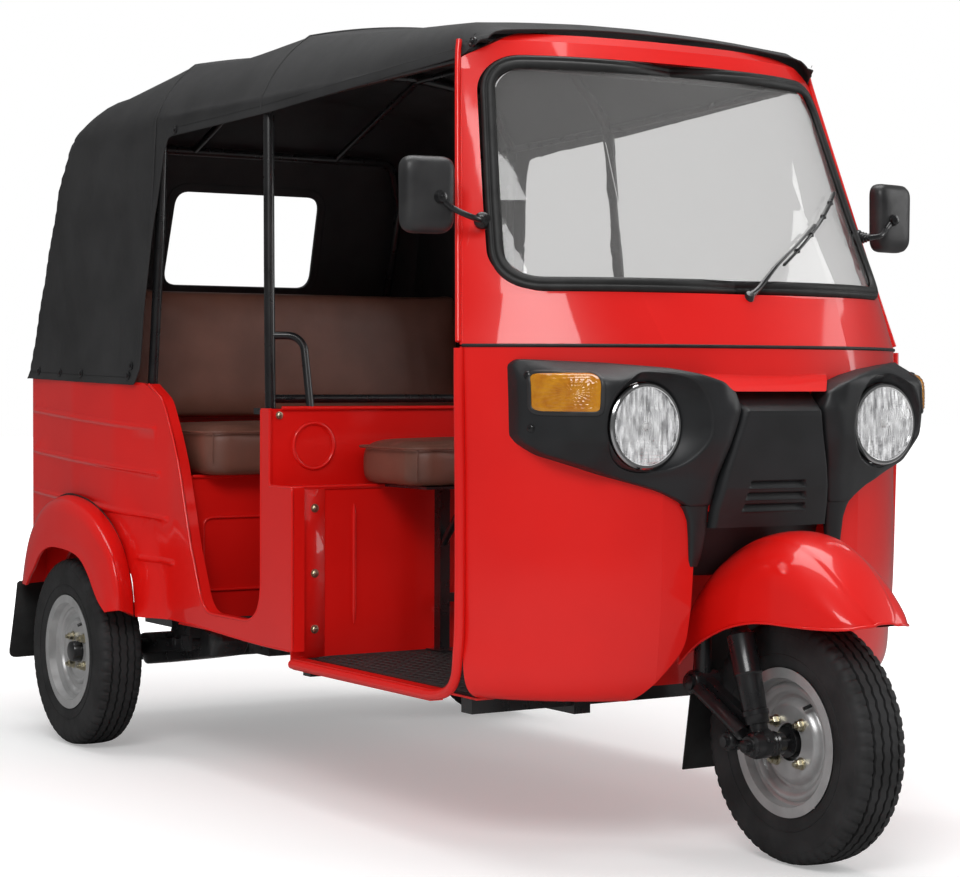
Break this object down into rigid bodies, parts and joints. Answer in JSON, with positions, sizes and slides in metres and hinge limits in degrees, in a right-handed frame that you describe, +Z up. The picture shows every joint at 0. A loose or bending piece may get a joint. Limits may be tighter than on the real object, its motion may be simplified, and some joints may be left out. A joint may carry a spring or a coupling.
{
  "type": "auto rickshaw",
  "caption": "Three-wheeled passenger auto rickshaw with a red steel body, open sides, a canvas canopy, a bench seat and a steered front wheel.",
  "frame": {"origin": "centre of the whole vehicle's box, on the ground", "axes": "+Z up, -Y towards the front wheel, +X towards the vehicle's left"},
  "size_m": [1.35, 2.873, 1.788],
  "materials": {
    "red_paint": "gloss red enamel",
    "black_rubber": "matt",
    "mat_rubber": "studded, matt",
    "clear_glass": "clear",
    "charcoal_plastic": "fine grain, charcoal",
    "lamp_chrome": "polished reflector",
    "amber_lens": "ribbed amber lens",
    "red_lens": "ribbed red lens",
    "black_plastic": "satin black",
    "black_steel": "semi-gloss black",
    "cast_metal": "as cast",
    "silencer_steel": "dull",
    "brown_leather": "brown leathercloth, fine grain",
    "grey_canvas": "dark grey coated canvas",
    "tyre_rubber": "matt black",
    "silver_rim": "silver paint",
    "plate_white": "blank white"
  },
  "bodies": {
    "body": {"front_shell": "red_paint", "windscreen_frame": "red_paint", "wheel_arch": "red_paint", "side_panels": "red_paint", "partition": "red_paint", "seat_base": "red_paint", "tail_panel": "red_paint", "rear_fenders": "red_paint", "floor_pans": "red_paint", "cowl_seals": "black_rubber", "windscreen_glass": "clear_glass", "headlamp_mask": "charcoal_plastic", "mask_centre_panel": "charcoal_plastic", "headlamps": "lamp_chrome", "headlamp_lenses": "clear_glass", "indicators": "amber_lens", "mirrors": "black_plastic", "wiper": "black_plastic", "chassis_frame": "black_steel", "floor_mats": "mat_rubber", "rear_mudflaps": "black_rubber", "tail_lamps": "red_lens", "rear_bumper": "black_steel", "engine_block": "cast_metal", "silencer": "silencer_steel", "rear_arms": "black_steel", "rear_dampers": "black_steel", "bench_cushion": "brown_leather", "bench_backrest": "brown_leather", "driver_cushion": "brown_leather", "driver_seat_stand": "black_steel", "canopy": "grey_canvas", "canopy_frame": "black_steel", "dashboard": "black_plastic"},
    "steering": {"front_fork": "black_steel", "front_link": "black_steel", "front_damper": "black_steel", "handlebar": "black_steel", "handlebar_grips": "black_rubber", "front_mudguard": "red_paint", "front_mudflap": "black_rubber"},
    "front_wheel": {"front_tyre": "tyre_rubber", "front_rim": "silver_rim", "front_hub": "black_steel"},
    "rear_left_wheel": {"rear_left_tyre": "tyre_rubber", "rear_left_rim": "silver_rim", "rear_left_hub": "black_steel"},
    "rear_right_wheel": {"rear_right_tyre": "tyre_rubber", "rear_right_rim": "silver_rim", "rear_right_hub": "black_steel"},
    "engine_lid": {"engine_lid": "red_paint", "number_plate": "plate_white"}
  },
  "joints": [
    {"name": "steering", "type": "hinge", "parent": "body", "child": "steering", "pos_m": [0, -0.85678, 0.8], "axis": [0, 0.3746, 0.9272], "range_deg": [-30, 30]},
    {"name": "front_wheel_spin", "type": "hinge", "parent": "steering", "child": "front_wheel", "pos_m": [0, -1.15, 0.24], "axis": [1, 0, 0], "continuous": true},
    {"name": "rear_left_wheel_spin", "type": "hinge", "parent": "body", "child": "rear_left_wheel", "pos_m": [0.608, 0.975, 0.24], "axis": [1, 0, 0], "continuous": true},
    {"name": "rear_right_wheel_spin", "type": "hinge", "parent": "body", "child": "rear_right_wheel", "pos_m": [-0.608, 0.975, 0.24], "axis": [1, 0, 0], "continuous": true},
    {"name": "engine_lid", "type": "hinge", "parent": "body", "child": "engine_lid", "pos_m": [0, 1.409, 0.848], "axis": [1, 0, 0], "range_deg": [0, 70]}
  ]
}
